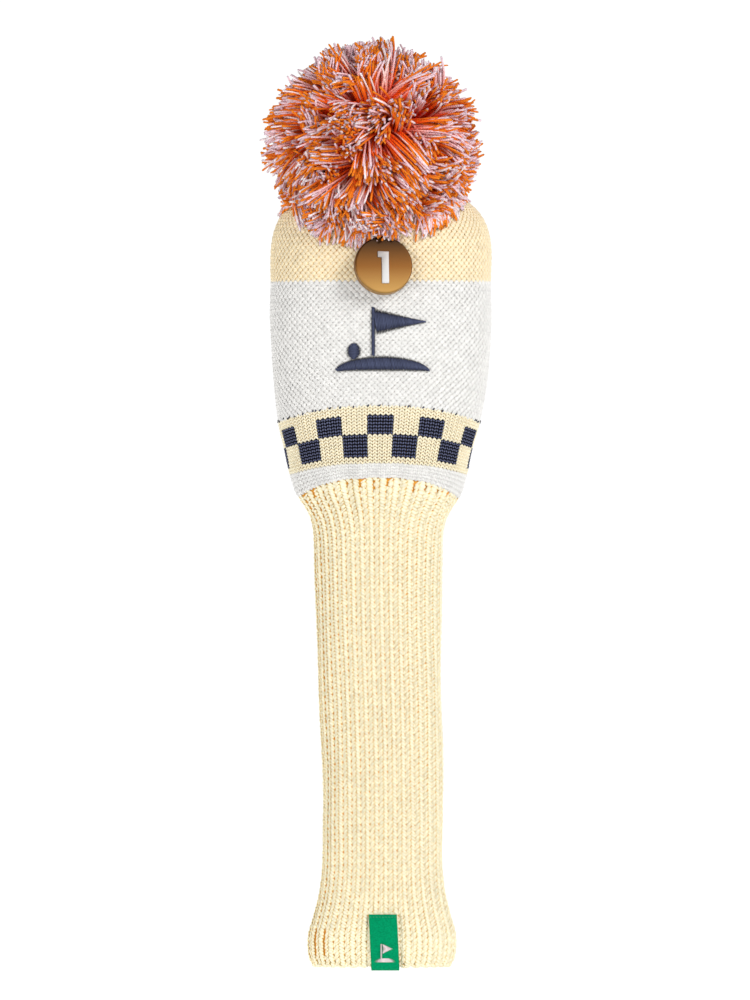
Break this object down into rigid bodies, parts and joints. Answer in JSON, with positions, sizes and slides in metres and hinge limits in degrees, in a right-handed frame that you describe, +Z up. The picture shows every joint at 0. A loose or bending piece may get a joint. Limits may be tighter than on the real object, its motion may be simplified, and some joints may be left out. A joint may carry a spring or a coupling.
{
  "type": "driver head cover",
  "caption": "Knitted driver head cover: lined head pocket, long ribbed sleeve, yarn pom on top, round metal number badge, stitched emblem and woven label.",
  "frame": {"origin": "centre of the seat inside the top of the lined head pocket, where the driver head bears, with the cover hanging from it", "axes": "+Z up along the club's shaft line from the sleeve's mouth to the pom, -Y out of the front with the badge and emblem, +X to the right as the front is seen"},
  "size_m": [0.1144, 0.107, 0.4795],
  "materials": {
    "yellow_rib_knit": "matte",
    "yellow_crown_knit": "matte",
    "white_knit": "matte",
    "checker_knit": "matte",
    "navy_thread": "satin",
    "lining_fleece": "matte",
    "gather_cord": "matte",
    "anchor_plastic": "satin",
    "tie_cord": "matte",
    "pom_orange_yarn": "matte",
    "pom_pink_yarn": "matte",
    "pom_white_yarn": "matte",
    "badge_metal": "satin",
    "badge_numeral": "satin",
    "rivet_steel": "satin",
    "backing_sheet": "matte",
    "label_green": "satin",
    "label_thread": "matte"
  },
  "bodies": {
    "head": {"neck_flare": "yellow_rib_knit", "lower_white_band": "white_knit", "checker_band": "checker_knit", "linking_seam_thread": "navy_thread", "white_panel": "white_knit", "crown_panel": "yellow_crown_knit", "head_lining": "lining_fleece", "crown_gather_cord": "gather_cord", "pom_anchor_button": "anchor_plastic", "pom_skirt": "pom_pink_yarn", "badge_shank": "rivet_steel", "badge_back_plate": "rivet_steel", "emblem_mound": "navy_thread", "emblem_flagstick": "navy_thread", "emblem_flag": "navy_thread", "emblem_ball": "navy_thread", "emblem_backing": "backing_sheet"},
    "sleeve": {"rib_sleeve": "yellow_rib_knit", "hem_cuff": "yellow_rib_knit", "woven_label": "label_green", "label_stitches": "label_thread"},
    "pom_tie": {"pom_tie_cord": "tie_cord"},
    "pom": {"pom_binding": "pom_orange_yarn", "pom_ball": "pom_orange_yarn"},
    "badge": {"badge_cap": "badge_metal", "badge_number": "badge_numeral"}
  },
  "joints": [
    {"name": "neck_fold", "type": "hinge", "parent": "head", "child": "sleeve", "pos_m": [0, 0, -0.166], "axis": [1, 0, 0], "range_deg": [-70, 70], "deforming": ["neck_flare"]},
    {"name": "pom_nod", "type": "hinge", "parent": "head", "child": "pom_tie", "pos_m": [0, 0, 0.01], "axis": [1, 0, 0], "range_deg": [-18, 18], "stiffness_Nm_per_rad": 0.15, "deforming": ["pom_skirt"]},
    {"name": "pom_sway", "type": "hinge", "parent": "pom_tie", "child": "pom", "pos_m": [0, 0, 0.01], "axis": [0, 1, 0], "range_deg": [-18, 18], "stiffness_Nm_per_rad": 0.15, "deforming": ["pom_skirt"]},
    {"name": "badge_spin", "type": "hinge", "parent": "head", "child": "badge", "pos_m": [0.0006, -0.0345, -0.035], "axis": [0.1701, -0.9605, 0.2201], "continuous": true}
  ]
}
